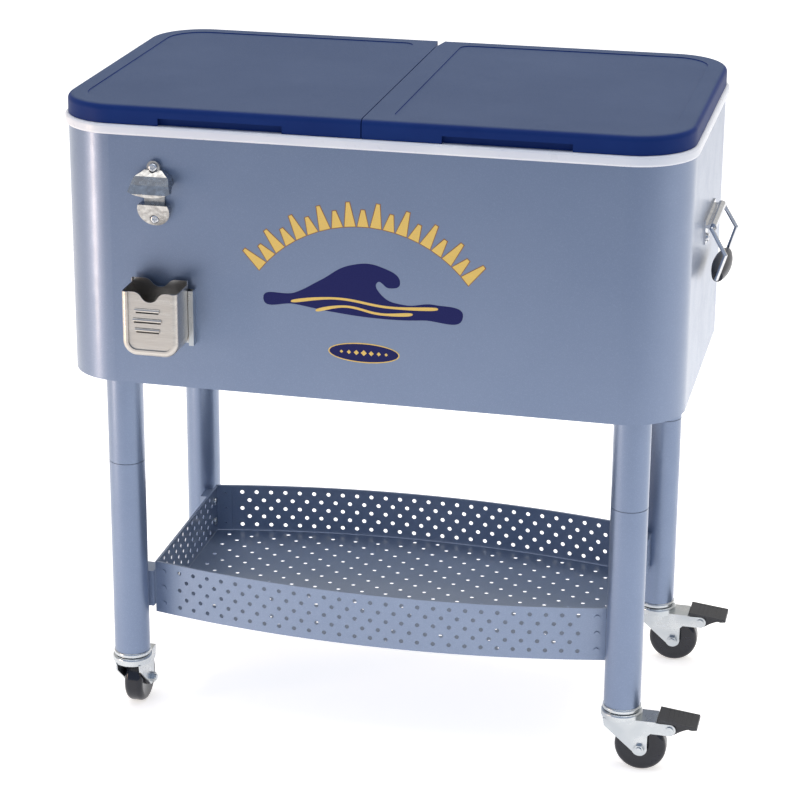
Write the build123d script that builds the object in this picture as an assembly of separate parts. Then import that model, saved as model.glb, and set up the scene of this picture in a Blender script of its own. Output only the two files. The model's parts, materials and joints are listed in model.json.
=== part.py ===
from build123d import *
import math
import os

os.makedirs("parts", exist_ok=True)

# Rolling patio cooler cart, millimetres, +Z up, +X to the cart's right, -Y to its front.
# Everything is drawn about the middle of the cooler box, then moved back so that the
# middle of the bounding box stands over the origin.
SHIFT_Y = 17.0

# cooler box
LENGTH = 750.0
DEPTH = 440.0
CORNER = 70.0
SHEET = 1.2
BODY_LOW = 468.0
BAND_LOW = 775.5
BAND_TOP = 788.0
BAND_OUT = 4.0
LID_LOW = 788.3
LID_TOP = 811.0

# white liner
TUB_X = 345.0
TUB_Y = 190.0
TUB_R = 30.0
TUB_WALL = 3.0
TUB_FLOOR = 497.0
TUB_DRAFT = 1.2

# lid
SEAM = 0.6
SKIN = 3.0
GRIP_X = 169.0
GRIP_LENGTH = 150.0
GRIP_HEIGHT = 9.0
GRIP_DEPTH = 6.0
HINGE_Y = 232.0
HINGE_Z = 791.0
HINGE_AT = (95.0, 275.0)

# legs
LEG_X = 315.0
LEG_Y = 158.0
LEG_R = 22.5
LEG_WALL = 1.5
LEG_LOW = 84.0
LEG_JOINT = 343.0
LEG_HIGH = 468.5

# tray
TRAY_X = 289.0
TRAY_Y = 134.0
TRAY_BOW = 34.0
TRAY_LOW = 126.0
TRAY_HIGH = 195.5
TRAY_SHEET = 1.0
HOLE_R = 2.75
WALL_PITCH = 19.8
WALL_ROW = 11.9
ROW_TOP = 10.2
FLOOR_PITCH = 31.6
FLOOR_ROW = 17.3
FLOOR_LIFT = 2.5
SCREW_Y = 121.0

# casters
WHEEL_R = 31.75
WHEEL_W = 24.0
TRAIL = 25.0
AXLE_R = 4.0
CHEEK_IN = 14.5
CHEEK_OUT = 16.5
CROWN_Z = 67.0
PEDAL_X = 61.0
PEDAL_Z = 61.0

# side handles
BAR_OUT = 10.0
BAR_Y = 15.0
BAR_Z = 659.0
BAR_HALF = 52.0
EAR_DROP = 16.5
WIRE_R = 2.5
BAIL_HALF = 60.0
BAIL_KNEE = 18.0
BAIL_FOOT = 8.5
BAIL_DROP = 61.0

# front fittings
OPENER_X = -248.5
OPENER_Z = 709.0
CATCH_X = -242.5
CATCH_Z = 521.0
CATCH_W = 69.0
CATCH_H = 83.0

# drain
DRAIN_Z = 522.0
DRAIN_R = 9.0

LEGS = {"fl": (-LEG_X, -LEG_Y), "fr": (LEG_X, -LEG_Y), "rl": (-LEG_X, LEG_Y), "rr": (LEG_X, LEG_Y)}
TRAIL_TURN = {"fl": 90.0, "fr": 0.0, "rl": 90.0, "rr": 0.0}


def save(shape, node):
    """Write one node, moved back so that the bounding box is centred on the origin."""
    export_step(Pos(0, SHIFT_Y, 0) * shape, f"parts/{node}.step")


def group(solids):
    """Several separate solids kept as one node."""
    return Compound(children=list(solids))


def slab(outline, low, high):
    """A flat outline drawn on XY, raised between two heights."""
    return Pos(0, 0, low) * extrude(outline, high - low)


def rounded(length, depth, radius, low, high):
    return slab(RectangleRounded(length, depth, radius), low, high)


def span(x0, x1, y0, y1, z0, z1):
    """A box given by its limits."""
    return Pos((x0 + x1) / 2, (y0 + y1) / 2, (z0 + z1) / 2) * Box(abs(x1 - x0), abs(y1 - y0), abs(z1 - z0))


def rod(start, end, radius):
    """A round bar between two points."""
    a, b = Vector(*start), Vector(*end)
    axis = b - a
    return Plane(origin=a, z_dir=axis) * Cylinder(radius, axis.length, align=(Align.CENTER, Align.CENTER, Align.MIN))


def bent_rod(points, radius):
    """A round bar that bends at each point, with ball corners."""
    shape = rod(points[0], points[1], radius)
    for a, b in zip(points[1:], points[2:]):
        shape += Pos(*a) * Sphere(radius)
        shape += rod(a, b, radius)
    return shape


def strip(points, thickness):
    """The flat outline of a bent strip that follows the points."""
    return trace(Polyline(*points), thickness)


def pan_screw(length, radius=2.4):
    """A pan-head screw along +Z, with its head's underside at the origin and a cross recess."""
    head = Pos(0, 0, 1.5) * Cylinder(5.2, 3.0)
    head = fillet(head.edges().group_by(Axis.Z)[-1], 2.0)
    for turn in (0, 90):
        head -= Pos(0, 0, 3.0) * Rot(0, 0, turn) * Box(5.6, 1.1, 2.4)
    return head + Pos(0, 0, -length / 2) * Cylinder(radius, length)


# ---------------------------------------------------------------- cooler box

def outer_shell():
    shape = rounded(LENGTH, DEPTH, CORNER, BODY_LOW, BAND_TOP - 5.0)
    shape -= rounded(LENGTH - 2 * SHEET, DEPTH - 2 * SHEET, CORNER - SHEET, BODY_LOW - 1, BAND_TOP)
    shape -= rod((-LENGTH / 2 - 5, 0, DRAIN_Z), (-LENGTH / 2 + 5, 0, DRAIN_Z), DRAIN_R + 0.3)
    return shape - pilot_holes(2.5)


def bottom_pan():
    gap = SHEET + 0.3
    shape = rounded(LENGTH - 2 * gap, DEPTH - 2 * gap, CORNER - gap, BODY_LOW + 3, BODY_LOW + 22)
    inset = gap + SHEET
    shape -= rounded(
        LENGTH - 2 * inset, DEPTH - 2 * inset, CORNER - inset, BODY_LOW + 3 + SHEET, BODY_LOW + 30
    )
    for x, y in LEGS.values():
        for dx in (-29, 29):
            for dy in (-29, 29):
                shape -= Pos(x + dx, y + dy, BODY_LOW) * Cylinder(3.2, 30)
    return shape


def tub(grow, low, high):
    """The liner's drafted bucket, with its wall moved outwards by grow."""
    drop = math.tan(math.radians(TUB_DRAFT))
    half_x = TUB_X + grow + drop * (high - BAND_TOP)
    half_y = TUB_Y + grow + drop * (high - BAND_TOP)
    mouth = Pos(0, 0, high) * RectangleRounded(2 * half_x, 2 * half_y, TUB_R + grow)
    shape = extrude(mouth, low - high, taper=TUB_DRAFT)
    return fillet(shape.edges().group_by(Axis.Z)[0], 12.0 + grow)


def inner_liner():
    rim = rounded(
        LENGTH + 2 * BAND_OUT, DEPTH + 2 * BAND_OUT, CORNER + BAND_OUT, BAND_LOW, BAND_TOP
    )
    rim = fillet(rim.edges().group_by(Axis.Z)[-1] + rim.edges().group_by(Axis.Z)[0], 3.5)
    gap = 0.4
    rim -= rounded(LENGTH + 2 * gap, DEPTH + 2 * gap, CORNER + gap, BAND_LOW - 1, BAND_TOP - 4.5)
    shape = rim + tub(TUB_WALL, TUB_FLOOR, BAND_TOP - 4.5)
    shape -= tub(0, TUB_FLOOR + TUB_WALL, BAND_TOP + 1)
    shape -= rod((-LENGTH / 2, 0, DRAIN_Z), (-LENGTH / 2 + 60, 0, DRAIN_Z), DRAIN_R + 0.3)
    return shape


def foam_insulation():
    inset = SHEET + 0.6
    low = BODY_LOW + 3 + SHEET + 0.4
    pan_inset = 2 * SHEET + 0.7
    shape = rounded(LENGTH - 2 * inset, DEPTH - 2 * inset, CORNER - inset, BODY_LOW + 22.5, BAND_TOP - 5.0)
    shape += rounded(
        LENGTH - 2 * pan_inset, DEPTH - 2 * pan_inset, CORNER - pan_inset, low, BODY_LOW + 22.5
    )
    shape -= tub(TUB_WALL + 0.5, TUB_FLOOR - 0.5, BAND_TOP)
    shape -= rod((-LENGTH / 2, 0, DRAIN_Z), (-LENGTH / 2 + 60, 0, DRAIN_Z), DRAIN_R + 0.5)
    for x, y in LEGS.values():
        for dx in (-29, 29):
            for dy in (-29, 29):
                shape -= Pos(x + dx, y + dy, BODY_LOW) * Cylinder(6.6, 38)
    return shape - pilot_holes(2.7)


# ---------------------------------------------------------------- lid halves, drawn on the right

def lid_outline(inset):
    return RectangleRounded(LENGTH - 2 * inset, DEPTH - 2 * inset, CORNER - inset)


def right_half(outline, start):
    """The part of an outline that lies to the right of X = start."""
    return outline & Pos(start + LENGTH / 2, 0) * Rectangle(LENGTH, 2 * DEPTH)


def grip_pocket(wall, roof):
    """The finger recess in the front skirt, grown by a wall and a roof thickness."""
    return span(
        GRIP_X - GRIP_LENGTH / 2 - wall,
        GRIP_X + GRIP_LENGTH / 2 + wall,
        -DEPTH / 2 - 5,
        -DEPTH / 2 + GRIP_DEPTH + wall,
        LID_LOW - 40,
        LID_LOW + GRIP_HEIGHT + roof,
    )


def seam_notch(wall):
    """The half V that opens the seam at the back edge."""
    deep = 38.0 + 2.5 * wall
    points = [(-1, DEPTH / 2 + 1), (6.0 + wall, DEPTH / 2 + 1), (SEAM + wall, DEPTH / 2 - deep), (-1, DEPTH / 2 - deep)]
    return slab(make_face(Polyline(*points, close=True)), LID_LOW - 5, LID_TOP + 5)


def lid_skin():
    shape = slab(lid_outline(0), LID_LOW, LID_TOP)
    shape = fillet(shape.edges().group_by(Axis.Z)[-1], 7.0)
    shape &= span(SEAM, LENGTH, -DEPTH, DEPTH, 0, 2 * LID_TOP)
    shape -= seam_notch(0)
    cavity = slab(right_half(lid_outline(SKIN), SEAM + SKIN), LID_LOW - 1, LID_TOP - SKIN)
    cavity = fillet(cavity.edges().group_by(Axis.Z)[-1], 4.0)
    cavity -= seam_notch(SKIN)
    cavity -= grip_pocket(SKIN, SKIN)
    shape -= cavity
    shape -= grip_pocket(0, 0)
    panel = right_half(lid_outline(24.0), 31.0)
    inner_corners = panel.vertices().group_by(Axis.X)[0]
    recess = slab(fillet(inner_corners, 14.0), LID_TOP - 1.4, LID_TOP + 1)
    recess = fillet(recess.edges().group_by(Axis.Z)[0], 1.2)
    return shape - recess


def lid_plug(inset, low, high):
    """The raised middle of the lid's inner panel, which drops into the tub's mouth."""
    outline = RectangleRounded(2 * (TUB_X - 5 - inset), 2 * (TUB_Y - 5 - inset), TUB_R - 5 - inset)
    return slab(right_half(outline, 14.0 + inset), low, high)


def lid_panel():
    plate = slab(right_half(lid_outline(SKIN + 0.3), SEAM + SKIN + 0.3), LID_LOW + 0.3, LID_LOW + 3.3)
    plate -= seam_notch(SKIN + 0.4)
    plate -= grip_pocket(SKIN + 0.3, 0)
    shape = plate + lid_plug(0, LID_LOW - 12, LID_LOW + 3.3)
    return shape - lid_plug(3.0, LID_LOW - 9, LID_LOW + 5)


def lid_core():
    inset = SKIN + 0.5
    shape = slab(right_half(lid_outline(inset), SEAM + inset), LID_LOW + 3.6, LID_TOP - SKIN - 4.5)
    shape -= seam_notch(SKIN + 0.8)
    shape -= grip_pocket(SKIN + 0.5, SKIN + 0.5)
    return shape + lid_plug(3.5, LID_LOW - 8.5, LID_LOW + 3.6)


def knuckle(x0, x1, bore):
    ring = rod((x0, HINGE_Y, HINGE_Z), (x1, HINGE_Y, HINGE_Z), 5.5)
    return ring - rod((x0 - 1, HINGE_Y, HINGE_Z), (x1 + 1, HINGE_Y, HINGE_Z), bore)


def side_sheet(points, thickness, x0, x1):
    """A strip seen from the side (Y across, Z up), widened along X."""
    outline = Plane.YZ.offset(x0) * strip(points, thickness)
    return extrude(outline, x1 - x0, dir=(1, 0, 0))


def hinge_leaf(x):
    """The lid's half of a hinge: a plate on the back skirt and an arm to the middle knuckle."""
    back = DEPTH / 2
    arm = side_sheet([(back + 1.2, 801), (back + 1.2, 794.5), (HINGE_Y - 1, HINGE_Z + 3.5)], 2.0, x - 7, x + 7)
    plate = span(x - 18, x + 18, back + 0.2, back + 2.2, 792, 803)
    bore = rod((x - 20, HINGE_Y, HINGE_Z), (x + 20, HINGE_Y, HINGE_Z), 2.06)
    return plate + arm + knuckle(x - 7, x + 7, 2.06) - bore


def hinge_bracket(x):
    """The body's half of a hinge: a plate on the back wall and two arms round the white band."""
    back = DEPTH / 2
    shape = span(x - 19, x + 19, back + 0.1, back + 2.1, 738, 770)
    for x0, x1 in ((x - 19, x - 7.5), (x + 7.5, x + 19)):
        shape += side_sheet([(back + 1.1, 765), (back + 1.1, 768), (HINGE_Y + 1, 779), (HINGE_Y + 1, 788)], 2.0, x0, x1)
        shape += knuckle(x0, x1, 2.0)
    shape -= rod((x - 20, HINGE_Y, HINGE_Z), (x + 20, HINGE_Y, HINGE_Z), 2.0)
    for dx in (-11, 11):
        shape -= rod((x + dx, back - 2, 751), (x + dx, back + 6, 751), 2.5)
    return shape


def hinge_pin(x):
    shaft = rod((x - 19.5, HINGE_Y, HINGE_Z), (x + 19.5, HINGE_Y, HINGE_Z), 1.98)
    return shaft + rod((x - 21, HINGE_Y, HINGE_Z), (x - 19.3, HINGE_Y, HINGE_Z), 3.2)


# ---------------------------------------------------------------- front fittings

def wall_plane(x, z):
    """Local X runs along the cart, local Y up and local Z out of the front wall."""
    return Plane(origin=(x, -DEPTH / 2, z), x_dir=(1, 0, 0), z_dir=(0, -1, 0))


def bottle_opener():
    crown = [(-9, 29), (-21, 21), (-26, 5)]
    lip = ThreePointArc((-26, 5), (0, -1), (26, 5))
    outline = make_face(Polyline(*crown) + lip + Polyline((26, 5), (21, 21), (9, 29)) + Line((9, 29), (-9, 29)))
    hood = extrude(outline, 30)
    flank = [(0, 30), (7, 28), (15, 22), (22, 13), (26.5, 3), (25, -2), (22, 1), (17, 7), (9, 11), (0, 12)]
    side = Plane(origin=(30, 0, 0), x_dir=(0, 0, 1), z_dir=(-1, 0, 0)) * make_face(Polyline(*flank, close=True))
    hood &= extrude(side, 60)
    boss = Pos(0, 31, 0) * extrude(Circle(8), 6)
    boss += Pos(0, 25, 0) * extrude(Rectangle(16, 12), 6)
    neck = Pos(0, -3, 0) * extrude(Rectangle(25, 34), 4)
    bowl = extrude(Pos(0, -21) * Circle(19.5) & Pos(0, -35.5) * Rectangle(60, 44), 13)
    slope = math.degrees(math.atan2(10.0, 26.0))
    bowl -= Pos(0, -14, 12.5) * Rot(slope, 0, 0) * Pos(0, 0, 30) * Box(80, 120, 60)
    shape = hood + boss + neck + bowl
    for height, seat in ((31, 6.0), (-32, 3.0)):
        shape -= Pos(0, height, 0) * Cylinder(2.8, 60)
        shape -= Pos(0, height, seat + 20) * Cylinder(5.8, 40)
    return wall_plane(OPENER_X, OPENER_Z) * Pos(0, 0, 0.1) * shape


def pocket_outline(grow):
    """The catcher's front view: straight sides, wide corner radii at the foot, open at the top."""
    half = CATCH_W / 2 + grow
    radius = 18.0 + grow
    low = -grow
    side = Line((half, CATCH_H + 5), (half, low + radius))
    corner = RadiusArc((half, low + radius), (half - radius, low), radius)
    foot = Line((half - radius, low), (-half + radius, low))
    other = RadiusArc((-half + radius, low), (-half, low + radius), radius)
    back = Line((-half, low + radius), (-half, CATCH_H + 5))
    return make_face(side + corner + foot + other + back + Line((-half, CATCH_H + 5), (half, CATCH_H + 5)))


def dip_cutter(top, half_width, depth, z0, z1):
    """A cutter whose lower edge is straight but for a soft U dip in the middle."""
    edge = [Line((-CATCH_W, top), (-half_width, top))]
    tangent = (1, 0)
    stops = [(-half_width / 2, top - depth / 2), (0, top - depth), (half_width / 2, top - depth / 2), (half_width, top)]
    for stop in stops:
        arc = TangentArc(edge[-1] @ 1, stop, tangent=tangent)
        edge.append(arc)
        tangent = arc % 1
    roof = Polyline((half_width, top), (CATCH_W, top), (CATCH_W, top + 40), (-CATCH_W, top + 40), (-CATCH_W, top))
    return Pos(0, 0, z0) * extrude(make_face(edge + [roof]), z1 - z0)


def cap_catcher():
    """A folded bin with a round front edge, a sunk front panel, three louvres and two hooks behind."""
    back, front, sheet, border = 8.0, 50.0, 1.0, 2.0
    shape = Pos(0, 0, back) * extrude(pocket_outline(0), front + border - back)
    shape = fillet(shape.edges().group_by(Axis.Z)[-1], 6.0)
    inside = Pos(0, 0, back + sheet) * extrude(pocket_outline(-sheet), front - back - 2 * sheet)
    shape -= fillet(inside.edges().group_by(Axis.Z)[-1], 4.0)
    shape -= Pos(0, 0, front) * extrude(pocket_outline(-8.0), 2 * border)
    for height, length in ((57, 30), (45, 35), (33, 30)):
        bar = Rot(0, 90, 0) * Cylinder(2.3, length)
        shape += Pos(-3, height, front) * bar
        shape -= Pos(-3, height - 3.2, front) * Box(length - 2, 1.6, 8)
    shape -= dip_cutter(CATCH_H - 4, 20, 12, back + 4, front + 10)
    shape -= dip_cutter(CATCH_H + 1, 20, 10, back - 2, back + 4.01)
    for side in (-1, 1):
        shape += Pos(side * 36.5, 33, back + 0.5) * Box(6.0, 50, 1.0)
    return wall_plane(CATCH_X, CATCH_Z) * shape


def catcher_bracket():
    """A sheet plate on the wall whose folded sides make the two slides for the catcher."""
    plate = Pos(0, 38, 0.7) * Box(82, 68, 1.2)
    shape = plate
    for side in (-1, 1):
        shape += Pos(side * 40.4, 38, 5.5) * Box(1.2, 68, 10.6)
        shape += Pos(side * 38.0, 38, 10.2) * Box(6.0, 68, 1.2)
        shape += Pos(side * 38.0, 5.5, 5.5) * Box(5.6, 3.0, 10.0)
    for dx in (-22, 22):
        shape -= Pos(dx, 54, 0) * Cylinder(2.5, 10)
    return wall_plane(CATCH_X, CATCH_Z) * shape


def screw_seats():
    """Where each screw of the box sits: a plane with local Z out of the wall, and the shank's length."""
    seats = [
        (wall_plane(OPENER_X, OPENER_Z + 31) * Pos(0, 0, 6.2), 16),
        (wall_plane(OPENER_X, OPENER_Z - 32) * Pos(0, 0, 3.2), 13),
    ]
    for dx in (-22, 22):
        seats.append((wall_plane(CATCH_X + dx, CATCH_Z + 54) * Pos(0, 0, 1.4), 11))
    for x in hinge_places():
        for dx in (-11, 11):
            plane = Plane(origin=(x + dx, DEPTH / 2 + 2.2, 751), x_dir=(-1, 0, 0), z_dir=(0, 1, 0))
            seats.append((plane, 12))
    for side in (-1, 1):
        for dy in (-38, 38):
            origin = (side * (LENGTH / 2 + 2.2), BAR_Y + dy, BAR_Z - EAR_DROP)
            seats.append((Plane(origin=origin, x_dir=(0, side, 0), z_dir=(side, 0, 0)), 12))
    return seats


def body_screws():
    """Every pan-head screw that goes into the sheet-metal box."""
    return group(seat * pan_screw(length) for seat, length in screw_seats())


def pilot_holes(radius):
    """Cutters for the shanks of the box's screws."""
    return [seat * Pos(0, 0, -length / 2) * Cylinder(radius, length + 2) for seat, length in screw_seats()]


def hinge_places():
    return [side * x for side in (-1, 1) for x in HINGE_AT]


# ---------------------------------------------------------------- side handles

def handle_plate(side):
    """A wall plate with a rolled tube that carries the bail's upper wire."""
    wall = side * LENGTH / 2
    axis = side * (LENGTH / 2 + BAR_OUT)
    low, high = BAR_Y - BAR_HALF, BAR_Y + BAR_HALF
    shape = span(wall + side * 0.1, wall + side * 2.1, low, high, BAR_Z - 7, BAR_Z + 7)
    for dy in (-38, 38):
        shape += span(wall + side * 0.1, wall + side * 2.1, BAR_Y + dy - 8, BAR_Y + dy + 8, BAR_Z - 24, BAR_Z)
    shape += span(wall + side * 1, axis, low, high, BAR_Z - 2, BAR_Z + 2)
    shape += rod((axis, low, BAR_Z), (axis, high, BAR_Z), 5.0)
    shape -= rod((axis, low - 1, BAR_Z), (axis, high + 1, BAR_Z), WIRE_R + 0.08)
    for dy in (-38, 38):
        z = BAR_Z - EAR_DROP
        shape -= rod((wall - 5, BAR_Y + dy, z), (wall + 5, BAR_Y + dy, z), 2.5)
    return shape


def bail_path(side):
    axis = side * (LENGTH / 2 + BAR_OUT)
    knee, foot = axis + side * BAIL_KNEE, axis + side * BAIL_FOOT
    low, high = BAR_Y - BAIL_HALF, BAR_Y + BAIL_HALF
    return [
        (axis, BAR_Y, BAR_Z), (axis, high, BAR_Z), (knee, high + 2, BAR_Z - BAIL_DROP / 2),
        (foot, high, BAR_Z - BAIL_DROP), (foot, low, BAR_Z - BAIL_DROP),
        (knee, low - 2, BAR_Z - BAIL_DROP / 2), (axis, low, BAR_Z), (axis, BAR_Y, BAR_Z),
    ]


def handle_grip(side):
    """A barrel-shaped grip round the lower wire."""
    half = 51.0
    profile = Polyline((-half, 0), (-half, 6.5)) + ThreePointArc((-half, 6.5), (0, 11.5), (half, 6.5))
    profile += Polyline((half, 6.5), (half, 0), (-half, 0))
    barrel = revolve(make_face(profile), Axis.X)
    barrel -= Rot(0, 90, 0) * Cylinder(WIRE_R + 0.1, 2 * half + 2)
    foot = side * (LENGTH / 2 + BAR_OUT + BAIL_FOOT)
    return Pos(foot, BAR_Y, BAR_Z - BAIL_DROP) * Rot(0, 0, 90) * barrel


# ---------------------------------------------------------------- drain

def drain_spout():
    wall = -LENGTH / 2
    shape = rod((wall + 42, 0, DRAIN_Z), (wall - 14, 0, DRAIN_Z), DRAIN_R)
    shape += rod((wall - 0.2, 0, DRAIN_Z), (wall - 3.2, 0, DRAIN_Z), 17.0)
    return shape - rod((wall + 43, 0, DRAIN_Z), (wall - 15, 0, DRAIN_Z), DRAIN_R - 2.0)


def drain_nut():
    start = -TUB_X + 6.6
    nut = Plane(origin=(start, 0, DRAIN_Z), z_dir=(1, 0, 0)) * extrude(RegularPolygon(13.0, 6), 5)
    return nut - rod((start - 1, 0, DRAIN_Z), (start + 6, 0, DRAIN_Z), DRAIN_R + 0.1)


def drain_cap():
    wall = -LENGTH / 2
    shape = rod((wall - 3.5, 0, DRAIN_Z), (wall - 18, 0, DRAIN_Z), DRAIN_R + 4.0)
    shape = fillet(shape.edges().group_by(Axis.X)[0], 2.0)
    for turn in range(0, 360, 30):
        a = math.radians(turn)
        y = (DRAIN_R + 4.6) * math.cos(a)
        z = DRAIN_Z + (DRAIN_R + 4.6) * math.sin(a)
        shape -= rod((wall - 2, y, z), (wall - 16, y, z), 1.8)
    return shape - rod((wall - 3, 0, DRAIN_Z), (wall - 14.5, 0, DRAIN_Z), DRAIN_R + 0.3)


# ---------------------------------------------------------------- legs

def tube(low, high):
    return Pos(0, 0, (low + high) / 2) * (Cylinder(LEG_R, high - low) - Cylinder(LEG_R - LEG_WALL, high - low + 2))


def leg_coupler():
    """The swaged sleeve inside the joint of two leg tubes."""
    outer = LEG_R - LEG_WALL - 0.2
    return Pos(0, 0, LEG_JOINT) * (Cylinder(outer, 110) - Cylinder(outer - 1.5, 112))


def leg_upper():
    """The upper tube of a leg, with the flange welded on top that bolts to the cooler's pan."""
    plate = Pos(0, 0, 469.7) * extrude(RectangleRounded(74, 74, 10), 1.25, both=True)
    for dx in (-29, 29):
        for dy in (-29, 29):
            plate -= Pos(dx, dy, 469.7) * Cylinder(3.2, 10)
    return tube(LEG_JOINT + 0.4, LEG_HIGH) + plate


def leg_bolt():
    head = Pos(0, 0, 467.3) * Cylinder(5.5, 2.2)
    head -= Pos(0, 0, 466.2) * extrude(RegularPolygon(2.0, 6), 1.2)
    nut = Pos(0, 0, 472.4) * extrude(RegularPolygon(5.0, 6), 5.0)
    return head + Pos(0, 0, 473.5) * Cylinder(3.0, 11) + nut


def leg_socket():
    """The plastic plug in the foot of a leg that holds the caster's stem."""
    outer = LEG_R - LEG_WALL - 0.2
    return Pos(0, 0, 104.5) * (Cylinder(outer, 40) - Cylinder(5.6, 42))


# ---------------------------------------------------------------- tray

def bow_radius():
    return (TRAY_X**2 + TRAY_BOW**2) / (2 * TRAY_BOW)


def bow_y(x, inset=0.0):
    """How far forward the bowed wall stands at a place along the tray."""
    radius = bow_radius()
    return TRAY_Y + TRAY_BOW - radius + math.sqrt((radius - inset) ** 2 - x * x)


def bow_plane(x, side, z):
    """Stands on a bowed wall's outer face, with local Z out of the wall; side is -1 at the front."""
    lean = math.asin(x / bow_radius())
    return Plane(origin=(x, side * bow_y(x), z), z_dir=(math.sin(lean), side * math.cos(lean), 0))


def bow_sheet(outer, inner, low, high):
    """A bowed strip, between two insets from the wall's outer face, on the front side."""
    end = TRAY_X - 0.2
    arcs = []
    for inset in (outer, inner):
        arcs.append(ThreePointArc((-end, -bow_y(end, inset)), (0, -bow_y(0, inset)), (end, -bow_y(end, inset))))
    ends = [Line(arcs[0] @ 0, arcs[1] @ 0), Line(arcs[0] @ 1, arcs[1] @ 1)]
    return slab(make_face(arcs[0] + arcs[1] + ends[0] + ends[1]), low, high)


def tray_wall_bowed():
    shape = bow_sheet(0, TRAY_SHEET, TRAY_LOW, TRAY_HIGH)
    shape += bow_sheet(0, 3.0, TRAY_HIGH - 3.0, TRAY_HIGH)
    drills = []
    for row in range(5):
        z = TRAY_HIGH - ROW_TOP - WALL_ROW * row
        start = 0.0 if row % 2 == 0 else 0.5
        for k in range(-15, 15):
            x = bow_radius() * math.sin((k + start) * WALL_PITCH / bow_radius())
            if abs(x) < TRAY_X - 24:
                drills.append(bow_plane(x, -1, z) * Cylinder(HOLE_R, 8))
    for x, z in rivet_places():
        drills.append(bow_plane(x, -1, z) * Cylinder(2.0, 12))
    return shape - drills


def tray_wall_end():
    """The right-hand end wall, with a flange at each end that lies behind the bowed walls."""
    x = TRAY_X
    shape = span(x, x + TRAY_SHEET, -TRAY_Y, TRAY_Y, TRAY_LOW, TRAY_HIGH)
    shape += span(x - 2.0, x + TRAY_SHEET, -TRAY_Y, TRAY_Y, TRAY_HIGH - 3.0, TRAY_HIGH)
    shape -= span(x - 3.0, x, -TRAY_Y - 1, -TRAY_Y + 4.5, TRAY_HIGH - 4, TRAY_HIGH + 1)
    shape -= span(x - 3.0, x, TRAY_Y - 4.5, TRAY_Y + 1, TRAY_HIGH - 4, TRAY_HIGH + 1)
    for side in (-1, 1):
        near = bow_y(x - 20, TRAY_SHEET) - 0.3
        far = bow_y(x, TRAY_SHEET) - 0.3
        outline = make_face(
            Polyline(
                (x + 0.5, side * far), (x - 20, side * near), (x - 20, side * (near - 1.0)),
                (x + 0.5, side * (far - 1.0)), close=True,
            )
        )
        shape += slab(outline, TRAY_LOW + 4.5, TRAY_HIGH - 3.5)
    drills = []
    for row in range(5):
        z = TRAY_HIGH - ROW_TOP - WALL_ROW * row
        start = 0.0 if row % 2 == 0 else 0.5
        for k in range(-7, 7):
            y = (k + start) * WALL_PITCH
            if abs(y) < TRAY_Y - 24:
                drills.append(rod((x - 3, y, z), (x + 3, y, z), HOLE_R))
    for side in (-1, 1):
        for z in (147, 175):
            drills.append(rod((x - 3, side * SCREW_Y, z), (x + 3, side * SCREW_Y, z), 2.5))
        for rx, z in rivet_places():
            if rx > 0:
                drills.append(bow_plane(rx, side, z) * Cylinder(2.0, 12))
    return shape - drills


def rivet_places():
    return [(side * (TRAY_X - 11), z) for side in (-1, 1) for z in (139, 161, 183)]


def tray_floor():
    inset = TRAY_SHEET + 1.8
    end = TRAY_X - 0.4
    front = ThreePointArc((-end, -bow_y(end, inset)), (0, -bow_y(0, inset)), (end, -bow_y(end, inset)))
    back = ThreePointArc((-end, bow_y(end, inset)), (0, bow_y(0, inset)), (end, bow_y(end, inset)))
    outline = make_face(front + back + Line(front @ 0, back @ 0) + Line(front @ 1, back @ 1))
    low = TRAY_LOW + FLOOR_LIFT
    shape = slab(outline, low, low + TRAY_SHEET)
    drills = []
    for row in range(-9, 10):
        y = row * FLOOR_ROW
        start = 0.0 if row % 2 == 0 else 0.5
        for k in range(-10, 10):
            x = (k + start) * FLOOR_PITCH
            if abs(x) < TRAY_X - 14:
                drills.append(Pos(x, y, low) * Cylinder(HOLE_R, 6))
    inside = [d for d in drills if abs(d.center().Y) < bow_y(d.center().X, inset) - 9]
    return shape - inside


def tray_rivet(x, side, z):
    """A pop rivet through a bowed wall and the corner flange behind it."""
    rivet = Pos(0, 0, -1.5) * Cylinder(1.9, 4.4) + Pos(0, 0, 0.7) * Cylinder(3.6, 1.2)
    return bow_plane(x, side, z) * rivet


def tray_saddle(side_x, side_y):
    """A shaped spacer between a leg and the tray's end wall."""
    x0, x1 = TRAY_X + TRAY_SHEET + 0.1, TRAY_X + 18
    shape = span(side_x * x0, side_x * x1, side_y * (SCREW_Y - 8), side_y * 142, 137, 185)
    shape -= Pos(side_x * LEG_X, side_y * LEG_Y, 161) * Cylinder(LEG_R + 0.1, 60)
    for z in (147, 175):
        shape -= rod((side_x * (x0 - 2), side_y * SCREW_Y, z), (side_x * (x1 + 2), side_y * SCREW_Y, z), 2.5)
    return shape


def tray_screws():
    screws = []
    for side_x in (-1, 1):
        for side_y in (-1, 1):
            for z in (147, 175):
                origin = (side_x * (TRAY_X - 0.1), side_y * SCREW_Y, z)
                plane = Plane(origin=origin, x_dir=(0, 1, 0), z_dir=(-side_x, 0, 0))
                screws.append(plane * pan_screw(9.5))
    return group(screws)


# ---------------------------------------------------------------- casters, drawn at the origin trailing to +X

def caster_stem():
    """The fixed stem: a pin in the leg, the upper raceway and the nut under the fork's crown."""
    race = Pos(0, 0, 80.6) * Cylinder(23.8, 6.6)
    race = fillet(race.edges(), 2.6)
    stem = Pos(0, 0, 102) * Cylinder(5.5, 40)
    pin = Pos(0, 0, 73) * Cylinder(5.0, 20)
    nut = Pos(0, 0, 62.7) * extrude(RegularPolygon(7.5, 6), 4.0)
    return race + stem + pin + nut


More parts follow.
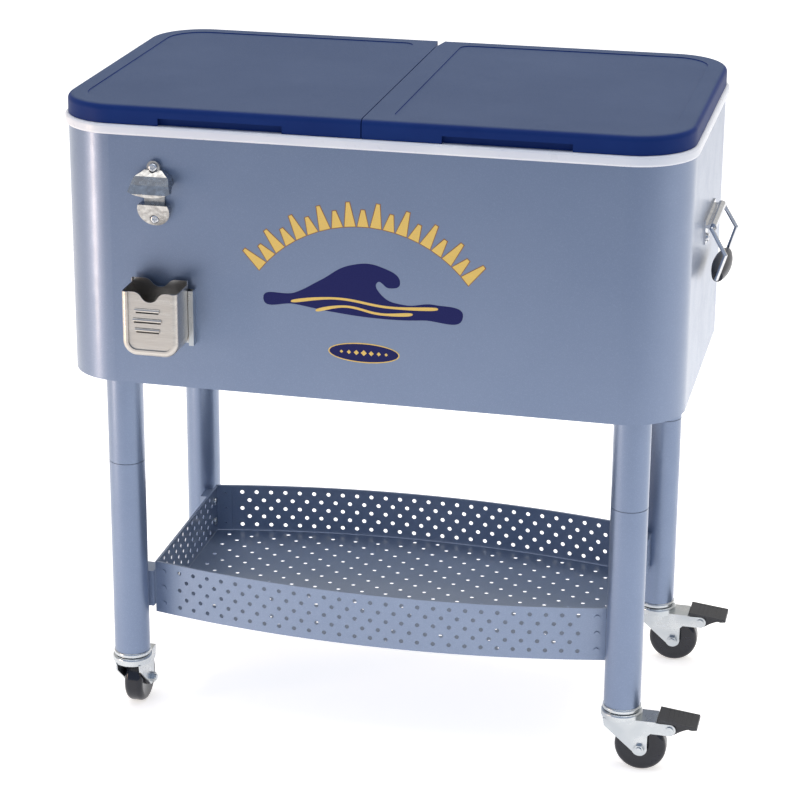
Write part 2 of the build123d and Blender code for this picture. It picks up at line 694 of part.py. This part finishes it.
def caster_fork(brake):
    crown_end = 44.0
    crown = Pos(0, 0, CROWN_Z) * extrude(Circle(24.5), 2.5)
    crown += span(0, crown_end, -CHEEK_OUT, CHEEK_OUT, CROWN_Z, CROWN_Z + 2.5)
    race = Pos(0, 0, 73.1) * Cylinder(25.5, 7.6)
    race = fillet(race.edges().group_by(Axis.Z)[-1], 3.0)
    shape = crown + race
    outline = make_face(
        Polyline((-21, CROWN_Z + 1), (-19, CROWN_Z - 9), (TRAIL - 8.2, WHEEL_R - 4.5), (TRAIL, WHEEL_R), (TRAIL + 9.2, WHEEL_R + 1),
                 (TRAIL + 9.5, 50), (TRAIL + 13, 53.5), (crown_end - 3, 54), (crown_end, CROWN_Z + 1), close=True)
    )
    outline += Pos(TRAIL, WHEEL_R) * Circle(9.5)
    if brake:
        outline += Pos((TRAIL + 10 + PEDAL_X) / 2, PEDAL_Z) * Rectangle(PEDAL_X - TRAIL - 10, 15.0)
        outline += Pos(PEDAL_X, PEDAL_Z) * Circle(7.5)
    for side in (-1, 1):
        plane = Plane(origin=(0, side * (CHEEK_IN + CHEEK_OUT) / 2, 0), x_dir=(1, 0, 0), z_dir=(0, -1, 0))
        cheek = extrude(plane * outline, (CHEEK_OUT - CHEEK_IN) / 2, both=True)
        shape += cheek
    shape -= Pos(0, 0, 70) * Cylinder(5.3, 30)
    shape -= rod((TRAIL, -30, WHEEL_R), (TRAIL, 30, WHEEL_R), AXLE_R + 0.05)
    if brake:
        shape -= rod((PEDAL_X, -30, PEDAL_Z), (PEDAL_X, 30, PEDAL_Z), 3.06)
    return shape


def caster_wheel():
    """A hard wheel with a flat tread, round shoulders and a hub that stands out to the cheeks."""
    bore, half, side = AXLE_R + 0.08, WHEEL_W / 2, 13.9
    flat, shoulder = 5.0, 7.0
    turn = shoulder * math.sin(math.radians(45))
    rim = WHEEL_R - shoulder
    profile = Polyline((bore, -side), (9.5, -side), (10.5, 1.5 - half), (rim, -half))
    profile += ThreePointArc((rim, -half), (rim + turn, -flat - turn), (WHEEL_R, -flat))
    profile += Line((WHEEL_R, -flat), (WHEEL_R, flat))
    profile += ThreePointArc((WHEEL_R, flat), (rim + turn, flat + turn), (rim, half))
    profile += Polyline((rim, half), (10.5, half - 1.5), (9.5, side), (bore, side), (bore, -side))
    return Pos(TRAIL, 0, WHEEL_R) * revolve(make_face(profile), Axis.Y)


def caster_axle(brake):
    """The axle bolt, with a hexagon head on one cheek and a nut on the other, and the brake's cross pin."""
    shape = rod((TRAIL, -CHEEK_OUT - 6.5, WHEEL_R), (TRAIL, CHEEK_OUT + 0.5, WHEEL_R), AXLE_R)
    for y in (-CHEEK_OUT - 4.6, CHEEK_OUT + 0.1):
        plane = Plane(origin=(TRAIL, y, WHEEL_R), x_dir=(1, 0, 0), z_dir=(0, 1, 0))
        shape += plane * extrude(RegularPolygon(6.5, 6), 4.5)
    return group([shape, brake_pin()]) if brake else shape


def brake_pedal():
    """The brake's foot lever, with a moulded tread and a cam that turns on a cross pin."""
    outline = make_face(
        Polyline((46, 75), (94, 69.5), (94.5, 66)) + ThreePointArc((94.5, 66), (80, 62.5), (66.5, 54.5))
        + Polyline((66.5, 54.5), (57.5, 54), (51, 60), (50, 70.8), (46, 70.8), (46, 75))
    )
    inner = Plane(origin=(0, 14.1, 0), x_dir=(1, 0, 0), z_dir=(0, -1, 0)) * outline
    shape = extrude(inner, 28.2)
    tread = make_face(Polyline((46, 75), (94, 69.5), (94.5, 66), (88, 65), (62, 70.2), (46, 70.8), close=True))
    wide = Plane(origin=(0, 18.5, 0), x_dir=(1, 0, 0), z_dir=(0, -1, 0)) * tread
    shape += extrude(wide, 37)
    for k in range(6):
        x = 58 + 5.5 * k
        shape -= Pos(x, 0, 75.2 - (x - 46) * 5.5 / 48) * Rot(0, 6.5, 0) * Box(1.6, 29, 1.2)
    return shape - rod((PEDAL_X, -30, PEDAL_Z), (PEDAL_X, 30, PEDAL_Z), 3.08)


def brake_pin():
    shaft = rod((PEDAL_X, -CHEEK_OUT - 0.5, PEDAL_Z), (PEDAL_X, CHEEK_OUT + 0.5, PEDAL_Z), 3.0)
    for side in (-1, 1):
        y = side * (CHEEK_OUT + 0.1)
        shaft += rod((PEDAL_X, y, PEDAL_Z), (PEDAL_X, y + side * 1.8, PEDAL_Z), 4.6)
    return shaft


# ---------------------------------------------------------------- build and write every node

def mirror_x(shape):
    return mirror(shape, Plane.YZ)


def mirror_y(shape):
    return mirror(shape, Plane.XZ)


def write_box():
    save(outer_shell(), "outer_shell")
    save(bottom_pan(), "bottom_pan")
    save(inner_liner(), "inner_liner")
    save(foam_insulation(), "foam_insulation")
    save(group(hinge_bracket(x) for x in hinge_places()), "hinge_brackets")
    save(group(hinge_pin(x) for x in hinge_places()), "hinge_pins")
    save(body_screws(), "body_screws")
    save(drain_spout(), "drain_spout")
    save(drain_nut(), "drain_nut")
    save(drain_cap(), "drain_cap")


def write_lids():
    skin, panel, core = lid_skin(), lid_panel(), lid_core()
    leaves = group(hinge_leaf(x) for x in HINGE_AT)
    for node, shape in (("skin", skin), ("panel", panel), ("core", core), ("hinge_leaves", leaves)):
        save(shape, f"lid_right_{node}")
        save(mirror_x(shape), f"lid_left_{node}")


def write_fittings():
    save(bottle_opener(), "bottle_opener")
    save(cap_catcher(), "cap_catcher")
    save(catcher_bracket(), "catcher_bracket")
    save(group(handle_plate(side) for side in (-1, 1)), "handle_plates")
    for side, name in ((-1, "left"), (1, "right")):
        save(bent_rod(bail_path(side), WIRE_R), f"handle_bail_{name}")
        save(handle_grip(side), f"handle_grip_{name}")


def write_legs():
    for name, (x, y) in LEGS.items():
        save(Pos(x, y, 0) * leg_upper(), f"leg_upper_{name}")
        save(Pos(x, y, 0) * tube(LEG_LOW, LEG_JOINT - 0.4), f"leg_lower_{name}")
    places = list(LEGS.values())
    save(group(Pos(x, y, 0) * leg_coupler() for x, y in places), "leg_couplers")
    save(group(Pos(x, y, 0) * leg_socket() for x, y in places), "leg_sockets")
    bolts = [(x + dx, y + dy) for x, y in places for dx in (-29, 29) for dy in (-29, 29)]
    save(group(Pos(x, y, 0) * leg_bolt() for x, y in bolts), "leg_bolts")


def write_tray():
    front, right = tray_wall_bowed(), tray_wall_end()
    save(front, "tray_wall_front")
    save(mirror_y(front), "tray_wall_back")
    save(right, "tray_wall_right")
    save(mirror_x(right), "tray_wall_left")
    save(tray_floor(), "tray_floor")
    save(group(tray_saddle(sx, sy) for sx in (-1, 1) for sy in (-1, 1)), "tray_saddles")
    save(tray_screws(), "tray_screws")
    save(group(tray_rivet(x, side, z) for side in (-1, 1) for x, z in rivet_places()), "tray_rivets")


def write_casters():
    save(group(Pos(x, y, 0) * caster_stem() for x, y in LEGS.values()), "caster_stems")
    wheel = caster_wheel()
    for name, (x, y) in LEGS.items():
        place = Pos(x, y, 0) * Rot(0, 0, TRAIL_TURN[name])
        brake = name in ("fr", "rr")
        save(place * caster_fork(brake), f"caster_fork_{name}")
        save(place * wheel, f"caster_wheel_{name}")
        save(place * caster_axle(brake), f"caster_pins_{name}")
        if brake:
            save(place * brake_pedal(), f"brake_pedal_{name}")


write_box()
write_lids()
write_fittings()
write_legs()
write_tray()
write_casters()
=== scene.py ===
import json
import math

import bpy
from mathutils import Matrix, Vector


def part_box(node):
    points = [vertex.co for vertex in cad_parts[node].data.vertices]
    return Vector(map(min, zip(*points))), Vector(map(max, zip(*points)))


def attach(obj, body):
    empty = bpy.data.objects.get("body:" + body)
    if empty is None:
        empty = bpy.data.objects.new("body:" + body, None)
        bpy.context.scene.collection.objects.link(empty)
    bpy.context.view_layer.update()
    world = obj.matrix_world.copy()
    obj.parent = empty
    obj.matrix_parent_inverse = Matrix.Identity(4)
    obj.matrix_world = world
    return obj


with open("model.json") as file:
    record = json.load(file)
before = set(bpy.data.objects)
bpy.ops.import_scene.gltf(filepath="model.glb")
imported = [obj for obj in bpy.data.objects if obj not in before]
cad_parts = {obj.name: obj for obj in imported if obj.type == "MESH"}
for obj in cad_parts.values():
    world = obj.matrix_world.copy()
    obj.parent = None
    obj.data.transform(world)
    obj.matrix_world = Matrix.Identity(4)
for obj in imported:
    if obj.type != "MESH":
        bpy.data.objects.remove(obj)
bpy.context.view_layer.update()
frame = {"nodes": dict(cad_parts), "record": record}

MM = 0.001
NODES = frame["nodes"]


# ---------------------------------------------------------------- shader building blocks

class Shader:
    """A material with one Principled shader, and short calls for the nodes that feed it."""

    def __init__(self, name, **numbers):
        self.material = bpy.data.materials.new(name)
        self.material.use_nodes = True
        self.tree = self.material.node_tree
        self.bsdf = self.tree.nodes["Principled BSDF"]
        for socket, value in numbers.items():
            self.bsdf.inputs[socket.replace("_", " ")].default_value = value
        self.place = self.add("ShaderNodeTexCoord").outputs["Object"]

    def add(self, kind, **settings):
        node = self.tree.nodes.new(kind)
        for name, value in settings.items():
            setattr(node, name, value)
        return node

    def link(self, output, target):
        self.tree.links.new(output, target)

    def drive(self, socket, output):
        self.link(output, self.bsdf.inputs[socket])

    def stretched(self, scale, turn=(0, 0, 0)):
        """The object's coordinates, scaled per axis."""
        node = self.add("ShaderNodeMapping")
        node.inputs["Scale"].default_value = scale
        node.inputs["Rotation"].default_value = turn
        self.link(self.place, node.inputs["Vector"])
        return node.outputs["Vector"]

    def noise(self, scale, detail=2.0, rough=0.5, place=None):
        node = self.add("ShaderNodeTexNoise")
        node.inputs["Scale"].default_value = scale
        node.inputs["Detail"].default_value = detail
        node.inputs["Roughness"].default_value = rough
        self.link(place or self.place, node.inputs["Vector"])
        return node.outputs["Fac"]

    def cells(self, scale, feature="F1", place=None, output="Distance"):
        node = self.add("ShaderNodeTexVoronoi", feature=feature)
        node.inputs["Scale"].default_value = scale
        self.link(place or self.place, node.inputs["Vector"])
        return node.outputs[output]

    def ramp(self, value, low, high, out_low=0.0, out_high=1.0):
        """value from low to high becomes out_low to out_high, and stays inside those."""
        node = self.add("ShaderNodeMapRange")
        node.inputs["From Min"].default_value = low
        node.inputs["From Max"].default_value = high
        node.inputs["To Min"].default_value = out_low
        node.inputs["To Max"].default_value = out_high
        self.link(value, node.inputs["Value"])
        return node.outputs["Result"]

    def math(self, operation, a, b):
        node = self.add("ShaderNodeMath", operation=operation)
        for socket, value in zip(node.inputs, (a, b)):
            if isinstance(value, (int, float)):
                socket.default_value = value
            else:
                self.link(value, socket)
        return node.outputs[0]

    def blend(self, share, first, second):
        """One colour becomes another as share goes from 0 to 1."""
        node = self.add("ShaderNodeMix", data_type="RGBA")
        self.link(share, node.inputs["Factor"])
        for socket, value in ((node.inputs["A"], first), (node.inputs["B"], second)):
            if isinstance(value, tuple):
                socket.default_value = (*value, 1.0)
            else:
                self.link(value, socket)
        return node.outputs["Result"]

    def bump(self, height, depth, strength=1.0, under=None):
        node = self.add("ShaderNodeBump")
        node.inputs["Strength"].default_value = strength
        node.inputs["Distance"].default_value = depth
        self.link(height, node.inputs["Height"])
        if under is not None:
            self.link(under, node.inputs["Normal"])
        return node.outputs["Normal"]

    def facing_up(self, low, high):
        """1 on faces that look up in the part's own rest pose, 0 on its sides."""
        split = self.add("ShaderNodeSeparateXYZ")
        self.link(self.add("ShaderNodeTexCoord").outputs["Normal"], split.inputs["Vector"])
        return self.ramp(split.outputs["Z"], low, high)


# ---------------------------------------------------------------- materials

def enamel(name, light, dark, roughness, metal):
    """Silver-blue metallic enamel: fine flake, orange peel and faint handling marks."""
    s = Shader(name, Metallic=metal, Coat_Weight=0.4, Coat_Roughness=0.15, Coat_IOR=1.5)
    flake = s.cells(1500.0, output="Color")
    grey = s.add("ShaderNodeSeparateColor")
    s.link(flake, grey.inputs["Color"])
    clouds = s.ramp(s.noise(6.0, 3.0), 0.3, 0.7)
    base = s.blend(clouds, dark, light)
    tint = tuple(min(1.0, 1.18 * c + 0.015) for c in light)
    base = s.blend(s.ramp(grey.outputs["Red"], 0.72, 1.0, 0.0, 0.5), base, tint)
    s.drive("Base Color", base)
    marks = s.ramp(s.noise(22.0, 6.0, 0.65), 0.45, 0.75, roughness, roughness + 0.07)
    sparkle = s.ramp(grey.outputs["Green"], 0.0, 1.0, -0.03, 0.03)
    s.drive("Roughness", s.math("ADD", marks, sparkle))
    peel = s.bump(s.noise(420.0, 2.0), 0.00006, 0.35)
    s.drive("Normal", s.bump(s.noise(60.0, 1.0), 0.0001, 0.12, under=peel))
    return s.material


def lid_plastic():
    """Navy moulding: a pebble-grained top painted lighter and greyer with pale specks, as painted
    sheen of the light from above, and a smoother, deeper skirt.
    """
    s = Shader("lid_plastic", Specular_IOR_Level=0.12, IOR=1.45)
    top = s.facing_up(0.75, 0.97)
    pebble = s.cells(620.0, "SMOOTH_F1")
    fine = s.noise(1700.0, 3.0, 0.7)
    mottle = s.ramp(s.noise(9.0, 4.0, 0.6), 0.35, 0.7)
    sheen_speck = s.ramp(fine, 0.42, 0.66)
    skirt = s.blend(mottle, (0.0055, 0.0230, 0.128), (0.0075, 0.0300, 0.150))
    # painted sheen: faces that look up get a lighter, greyer navy and pale specks in place of the
    # light's sheen on the grained top
    sheen_top_colour = s.blend(mottle, (0.034, 0.056, 0.120), (0.044, 0.068, 0.136))
    sheen_top_colour = s.blend(s.math("MULTIPLY", sheen_speck, 0.7), sheen_top_colour, (0.098, 0.130, 0.215))
    s.drive("Base Color", s.blend(top, skirt, sheen_top_colour))
    grain = s.math("ADD", s.math("MULTIPLY", pebble, 0.6), s.math("MULTIPLY", fine, 0.5))
    rough = s.ramp(fine, 0.3, 0.7, 0.42, 0.58)
    s.drive("Roughness", s.math("ADD", rough, s.math("MULTIPLY", top, 0.12)))
    depth = s.math("ADD", s.math("MULTIPLY", top, 0.75), 0.25)
    s.drive("Normal", s.bump(s.math("MULTIPLY", grain, depth), 0.0005, 0.55))
    return s.material


def white_plastic():
    """Smooth white moulding with a faint cool mottle and soft flow marks."""
    s = Shader("white_plastic", Specular_IOR_Level=0.5, IOR=1.49)
    mottle = s.ramp(s.noise(14.0, 4.0), 0.3, 0.7)
    s.drive("Base Color", s.blend(mottle, (0.74, 0.745, 0.79), (0.80, 0.805, 0.83)))
    s.drive("Roughness", s.ramp(s.noise(90.0, 4.0, 0.6), 0.3, 0.7, 0.26, 0.38))
    flow = s.noise(1.0, 2.0, place=s.stretched((9.0, 9.0, 140.0)))
    s.drive("Normal", s.bump(s.noise(700.0, 2.0), 0.00008, 0.3, under=s.bump(flow, 0.0001, 0.2)))
    return s.material


def foam():
    """Cream closed-cell foam, painted darker in its pore hollows as painted shade."""
    s = Shader("foam", Roughness=0.9)
    pores = s.cells(420.0)
    # painted shade: the colour darkens where the pore bump dips
    s.drive("Base Color", s.blend(s.ramp(pores, 0.1, 0.7), (0.62, 0.52, 0.30), (0.86, 0.79, 0.55)))
    s.drive("Normal", s.bump(pores, 0.0008, 0.8))
    return s.material


def plated(name, light, dark, rough_low, rough_high, spangle, depth):
    """Bare plated metal: cloudy patches, fine scratches and a slightly uneven skin."""
    s = Shader(name, Metallic=1.0)
    patch = s.cells(spangle, "SMOOTH_F1", output="Color")
    grey = s.add("ShaderNodeSeparateColor")
    s.link(patch, grey.inputs["Color"])
    cloud = s.math("ADD", s.math("MULTIPLY", grey.outputs["Red"], 0.5),
                   s.math("MULTIPLY", s.noise(spangle * 0.6, 5.0, 0.6), 0.6))
    share = s.ramp(cloud, 0.3, 0.85)
    s.drive("Base Color", s.blend(share, dark, light))
    scratch = s.noise(1.0, 3.0, place=s.stretched((60.0, 900.0, 900.0), (0.3, 0.4, 0.7)))
    uneven = s.math("ADD", s.math("MULTIPLY", share, 0.6), s.math("MULTIPLY", scratch, 0.5))
    s.drive("Roughness", s.ramp(uneven, 0.2, 0.9, rough_high, rough_low))
    s.drive("Normal", s.bump(uneven, depth, 0.4))
    return s.material


def brushed(name, light, dark, along):
    """Stainless sheet brushed along one axis, with a few deeper strokes."""
    s = Shader(name, Metallic=1.0, Anisotropic=0.45)
    fine = s.noise(1.0, 4.0, 0.6, place=s.stretched(along))
    broad = s.noise(1.0, 2.0, place=s.stretched(tuple(0.12 * a for a in along)))
    grain = s.math("ADD", s.math("MULTIPLY", fine, 0.7), s.math("MULTIPLY", broad, 0.35))
    s.drive("Base Color", s.blend(s.ramp(grain, 0.3, 0.75), dark, light))
    s.drive("Roughness", s.ramp(grain, 0.3, 0.75, 0.38, 0.24))
    s.drive("Normal", s.bump(fine, 0.00006, 0.5))
    return s.material


def moulded(name, dark, light, rough_low, rough_high, grain, depth, **numbers):
    """Dark plastic or rubber: grained skin with rubbed, paler patches."""
    s = Shader(name, **numbers)
    rub = s.ramp(s.noise(45.0, 6.0, 0.7), 0.5, 0.78)
    fine = s.noise(grain, 3.0, 0.6)
    s.drive("Base Color", s.blend(s.math("MULTIPLY", rub, s.ramp(fine, 0.3, 0.6)), dark, light))
    s.drive("Roughness", s.ramp(s.math("ADD", rub, fine), 0.4, 1.4, rough_low, rough_high))
    s.drive("Normal", s.bump(fine, depth, 0.5))
    return s.material


def ink(name, colour, thin):
    """Screen-printed ink: slightly uneven coverage over the enamel."""
    s = Shader(name, Roughness=0.4, Specular_IOR_Level=0.25)
    cover = s.ramp(s.noise(900.0, 3.0, 0.7), 0.25, 0.5)
    s.drive("Base Color", s.blend(s.math("MAXIMUM", cover, 0.55), thin, colour))
    s.drive("Normal", s.bump(s.noise(1400.0, 2.0), 0.00004, 0.4))
    return s.material


MATERIALS = {
    "painted_steel": enamel("painted_steel", (0.200, 0.252, 0.365), (0.186, 0.238, 0.350), 0.36, 0.8),
    "tray_paint": enamel("tray_paint", (0.245, 0.300, 0.415), (0.224, 0.280, 0.396), 0.40, 0.6),
    "lid_plastic": lid_plastic(),
    "white_plastic": white_plastic(),
    "foam": foam(),
    "zinc": plated(
        "zinc", (0.62, 0.64, 0.65), (0.50, 0.53, 0.555), 0.22, 0.34, 70.0, 0.00002
    ),
    "cast_satin": plated(
        "cast_satin", (0.56, 0.55, 0.53), (0.34, 0.33, 0.32), 0.16, 0.32, 300.0, 0.0001
    ),
    "chrome": plated(
        "chrome", (0.74, 0.75, 0.77), (0.60, 0.61, 0.64), 0.06, 0.16, 220.0, 0.00003
    ),
    "stainless": brushed(
        "stainless", (0.62, 0.59, 0.55), (0.43, 0.40, 0.37), (40.0, 600.0, 1500.0)
    ),
    "black_plastic": moulded(
        "black_plastic", (0.006, 0.007, 0.014), (0.020, 0.022, 0.034), 0.16, 0.30, 500.0, 0.00006
    ),
    "pedal_plastic": moulded(
        "pedal_plastic", (0.026, 0.026, 0.030), (0.065, 0.065, 0.070), 0.42, 0.62, 1300.0, 0.0002
    ),
    "grip_rubber": moulded(
        "grip_rubber", (0.030, 0.030, 0.038), (0.070, 0.070, 0.078), 0.34, 0.52, 900.0, 0.00015
    ),
}
YELLOW_INK = ink("yellow_ink", (0.82, 0.55, 0.135), (0.55, 0.42, 0.22))
NAVY_INK = ink("navy_ink", (0.003, 0.005, 0.085), (0.010, 0.016, 0.120))
RUST_INK = ink("rust_ink", (0.30, 0.12, 0.035), (0.25, 0.18, 0.15))


def dress_frame():
    """Every CAD node takes the finish of its slot in the record."""
    for part in frame["record"]["subparts"]:
        node = NODES[part["node"]]
        finish = MATERIALS[part["material_slot"]]
        for slot in node.material_slots:
            slot.material = finish


# ---------------------------------------------------------------- softened edges on CAD nodes

def soften(node, width, segments):
    """A small round on a node's sharp edges, as a modifier, so that they catch the light."""
    sharp = math.radians(35.0)
    shape = NODES[node]
    weld = shape.modifiers.new("weld", "WELD")
    weld.merge_threshold = 0.000002
    bevel = shape.modifiers.new("round", "BEVEL")
    bevel.width = width
    bevel.segments = segments
    bevel.limit_method = "ANGLE"
    bevel.angle_limit = sharp
    bevel.harden_normals = True
    bevel.use_clamp_overlap = True


# ---------------------------------------------------------------- printed emblem on the front

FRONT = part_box("outer_shell")[0].y
INK_PROUD = 0.15 * MM
EMBLEM_X = 4 * MM
EMBLEM_Z = 590 * MM


def print_piece(name, outlines, finish, layer):
    """Flat ink shapes on the front wall. An outline is a closed list of (x, z) in millimetres."""
    curve = bpy.data.curves.new(name, "CURVE")
    curve.dimensions = "2D"
    curve.fill_mode = "BOTH"
    curve.extrude = 0.05 * MM
    curve.resolution_u = 12
    for points, smooth in outlines:
        spline = curve.splines.new("BEZIER")
        spline.bezier_points.add(len(points) - 1)
        for knot, (x, z) in zip(spline.bezier_points, points):
            knot.co = (x * MM, z * MM, 0)
            knot.handle_left_type = knot.handle_right_type = "AUTO" if smooth else "VECTOR"
        spline.use_cyclic_u = True
    piece = bpy.data.objects.new(name, curve)
    bpy.context.scene.collection.objects.link(piece)
    proud = INK_PROUD + layer * 0.04 * MM
    piece.matrix_world = (
        Matrix.Translation((EMBLEM_X, FRONT - proud + curve.extrude, EMBLEM_Z))
        @ Matrix.Rotation(math.radians(90), 4, "X")
    )
    curve.materials.append(finish)
    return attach(piece, "cabinet")


def turned(points, angle, radius, centre):
    """An outline that stands on a circle's rim, turned by angle from straight up."""
    c, s = math.cos(angle), math.sin(angle)
    placed = []
    for x, z in points:
        out = radius + z
        placed.append((centre[0] + x * c + out * s, centre[1] - x * s + out * c))
    return placed


def sun_rays(grow):
    """A fan of tapered rays, long and short by turns."""
    rays = []
    count, half_turn = 19, 50.0
    rim, centre = 158.0, (-1.5, -64.0)
    long_ray, short_ray = 29.0, 20.0
    for k in range(count):
        angle = math.radians(half_turn * (2 * k / (count - 1) - 1))
        tall = long_ray if k % 2 == 0 else short_ray
        foot, tip = 6.6 + grow, 1.9 + grow
        outline = [(-foot, -grow), (foot, -grow), (tip, tall + grow), (-tip, tall + grow)]
        rays.append((turned(outline, angle, rim, centre), False))
    return rays


def wave():
    """A rolling swell with one curling crest."""
    knots = [
        (-122, -2), (-84, 8), (-52, 26), (-18, 46), (20, 47), (43, 28), (30, 22), (16, 28),
        (22, 12), (48, 3), (84, 6), (118, -6), (70, -14), (20, -16), (-40, -12), (-84, -6),
    ]
    return [(knots, True)]


def swell_lines():
    """Two thin ribbons of foam that follow the swell."""
    ribbons = []
    for drop, reach in ((0.0, 88.0), (-9.0, 58.0)):
        upper = [
            (-reach, -2 + drop),
            (-reach * 0.4, 6 + drop),
            (reach * 0.35, 0 + drop),
            (reach, 2 + drop),
        ]
        lower = [(x, z - 3.4 + 1.6 * abs(x) / reach) for x, z in reversed(upper)]
        ribbons.append((upper + lower, True))
    return ribbons


def ring(half_x, half_z, centre_z):
    """The points of an ellipse."""
    points = []
    turns = 24
    for k in range(turns):
        angle = 2 * math.pi * k / turns
        points.append((half_x * math.cos(angle), centre_z + half_z * math.sin(angle)))
    return points


def dots(centre_z):
    """Seven diamonds across the badge, largest in the middle."""
    marks = []
    spacing = 9.0
    for k in range(-3, 4):
        size = 3.6 - 0.5 * abs(k)
        x = spacing * k
        diamond = [
            (x - size, centre_z),
            (x, centre_z + size),
            (x + size, centre_z),
            (x, centre_z - size),
        ]
        marks.append((diamond, False))
    return marks


def emblem():
    """Sun rays over a wave, and an oval badge with dots, all printed on the front wall."""
    badge_z = -60.0
    print_piece("emblem_ray_edges", sun_rays(0.9), RUST_INK, 0)
    print_piece("emblem_rays", sun_rays(0.0), YELLOW_INK, 1)
    print_piece("emblem_wave", wave(), NAVY_INK, 0)
    print_piece("emblem_foam", swell_lines(), YELLOW_INK, 1)
    print_piece("emblem_badge_rim", [(ring(43.0, 12.2, badge_z), True)], YELLOW_INK, 0)
    print_piece("emblem_badge", [(ring(41.6, 10.9, badge_z), True)], NAVY_INK, 1)
    print_piece("emblem_badge_dots", dots(badge_z), YELLOW_INK, 2)


# ---------------------------------------------------------------- stage, light and camera

def stage_floor():
    """A pale floor that glows near the cart, as painted light that lifts the cart's shadow and lights
    its lower walls, with a painted pool of warm light to its left, and turns to a soft grey well
    ahead of it, as painted shade.
    """
    mesh = bpy.data.meshes.new("stage_floor")
    far = 30.0
    corners = [(-far, -far, 0), (far, -far, 0), (far, far, 0), (-far, far, 0)]
    mesh.from_pydata(corners, [], [(0, 1, 2, 3)])
    floor = bpy.data.objects.new("stage_floor", mesh)
    floor.location.z = -0.2 * MM
    bpy.context.scene.collection.objects.link(floor)
    s = Shader("stage_floor", Roughness=0.8, Specular_IOR_Level=0.1)
    split = s.add("ShaderNodeSeparateXYZ")
    s.link(s.place, split.inputs["Vector"])
    # painted shade: the floor turns from pale to grey between about one and three and a half metres
    # ahead of the cart, for dimmer surroundings in the front wall's reflection
    grey_from, grey_to = -0.9, -3.4
    near = s.ramp(split.outputs["Y"], grey_to, grey_from)
    pale = s.blend(s.noise(3.0, 3.0), (0.93, 0.93, 0.93), (0.96, 0.96, 0.96))
    # painted warm light: a warm pool on the floor to the left of the cart, in both its base colour
    # and its glow
    left = s.ramp(split.outputs["X"], -0.9, -2.0)
    painted_warm_pool = s.math("MULTIPLY", left, s.ramp(split.outputs["Y"], 2.2, 0.6))
    lit = s.blend(painted_warm_pool, pale, (0.95, 0.90, 0.84))
    s.drive("Base Color", s.blend(near, (0.62, 0.65, 0.70), lit))
    s.drive("Emission Color", s.blend(painted_warm_pool, (1.0, 0.95, 0.89), (1.0, 0.88, 0.76)))
    # painted light: the floor glows near the cart and fades out ahead, washing out the cart's shadow
    # and lighting its lower walls like a lamp
    s.drive("Emission Strength", s.ramp(near, 0.0, 1.0, 0.0, 0.62))
    mesh.materials.append(s.material)


def world_light():
    """A white studio that is dimmer and cooler on the side that the cart's front faces."""
    world = bpy.data.worlds.new("studio")
    bpy.context.scene.world = world
    world.use_nodes = True
    tree = world.node_tree
    background = tree.nodes["Background"]
    split = tree.nodes.new("ShaderNodeSeparateXYZ")
    direction = tree.nodes.new("ShaderNodeTexCoord").outputs["Generated"]
    tree.links.new(direction, split.inputs["Vector"])
    front = tree.nodes.new("ShaderNodeMapRange")
    front.interpolation_type = "SMOOTHSTEP"
    front.inputs["From Min"].default_value = 0.35
    front.inputs["From Max"].default_value = -0.75
    tree.links.new(split.outputs["Y"], front.inputs["Value"])
    mix = tree.nodes.new("ShaderNodeMix")
    mix.data_type = "RGBA"
    mix.inputs["A"].default_value = (0.68, 0.665, 0.64, 1)
    mix.inputs["B"].default_value = (0.38, 0.47, 0.64, 1)
    tree.links.new(front.outputs["Result"], mix.inputs["Factor"])
    tree.links.new(mix.outputs["Result"], background.inputs["Color"])
    background.inputs["Strength"].default_value = 1.0


def area_light(name, place, target, size, power, colour):
    """A rectangle of light at place that faces target, out of the camera's sight."""
    lamp = bpy.data.lights.new(name, "AREA")
    lamp.shape = "RECTANGLE"
    lamp.size, lamp.size_y = size
    lamp.energy = power
    lamp.color = colour
    holder = bpy.data.objects.new(name, lamp)
    bpy.context.scene.collection.objects.link(holder)
    holder.location = place
    holder.rotation_mode = "QUATERNION"
    holder.rotation_quaternion = (Vector(target) - Vector(place)).to_track_quat("-Z", "Y")
    holder.visible_camera = False
    return holder


def lights():
    """A tall warm strip low on the left, for the corner's streak, and a wide soft panel above."""
    area_light(
        "key_left",
        place=(-1.62, -1.08, 0.30),
        target=(-0.30, -0.2, 0.55),
        size=(0.22, 1.0),
        power=10.0,
        colour=(1.0, 0.74, 0.54),
    )
    area_light(
        "top_soft",
        place=(0.1, 0.5, 3.0),
        target=(0.0, 0.0, 0.5),
        size=(3.2, 3.2),
        power=60.0,
        colour=(1.0, 0.99, 0.97),
    )


def camera():
    """A long lens from the front right, a little above the lid."""
    place = (0.67805, -2.95339, 1.51182)
    azimuth, elevation, roll = (math.radians(a) for a in (14.43, 18.74, -0.07))
    lens = bpy.data.cameras.new("camera")
    lens.sensor_width = 36.0
    lens.lens = 114.94
    lens.shift_x = 0.08
    lens.shift_y = -0.08
    lens.clip_start, lens.clip_end = 0.05, 100.0
    holder = bpy.data.objects.new("camera", lens)
    bpy.context.scene.collection.objects.link(holder)
    forward = Vector((
        -math.sin(azimuth) * math.cos(elevation),
        math.cos(azimuth) * math.cos(elevation),
        -math.sin(elevation),
    ))
    right = Vector((math.cos(azimuth), math.sin(azimuth), 0.0))
    up = right.cross(forward)
    side = right * math.cos(roll) + up * math.sin(roll)
    top = up * math.cos(roll) - right * math.sin(roll)
    turn = Matrix((side, top, -forward)).transposed()
    holder.matrix_world = Matrix.Translation(place) @ turn.to_4x4()
    bpy.context.scene.camera = holder


def main():
    dress_frame()
    for pedal in ("brake_pedal_fr", "brake_pedal_rr"):
        soften(pedal, 1.0 * MM, 3)
    emblem()
    stage_floor()
    world_light()
    lights()
    camera()
    bpy.context.scene.view_settings.view_transform = "Standard"


main()
